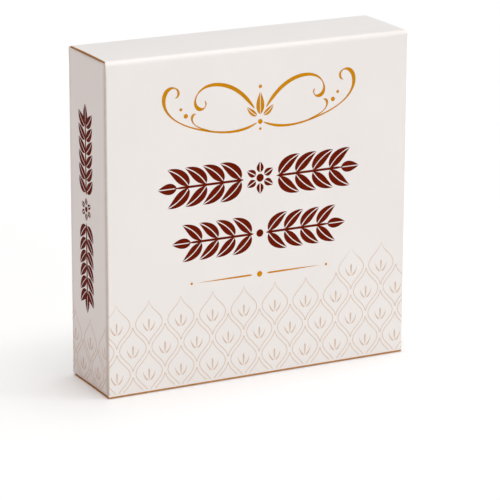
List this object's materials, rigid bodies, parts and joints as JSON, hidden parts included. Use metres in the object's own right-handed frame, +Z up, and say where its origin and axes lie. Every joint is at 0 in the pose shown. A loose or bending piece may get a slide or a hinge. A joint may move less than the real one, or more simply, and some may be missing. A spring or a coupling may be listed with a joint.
{
  "type": "box of candied chestnuts",
  "caption": "Flat, nearly square folding carton of candied chestnuts, standing upright and shut with tuck closures.",
  "frame": {"origin": "middle of the carton's base, on the surface it stands on", "axes": "+Z up, -Y out of the printed front panel, +X to the right as the front is seen"},
  "size_m": [0.1374, 0.0358, 0.14],
  "materials": {
    "board": "white clay-coated face, satin, with a brown core at the cut edges",
    "gold_print": "ochre-gold ink on the coated face, slightly glossy",
    "brown_print": "chestnut-brown ink on the coated face, satin",
    "copper_print": "thin pale copper ink lines on the coated face, satin"
  },
  "bodies": {
    "root": {"carton": "board"}
  },
  "joints": []
}
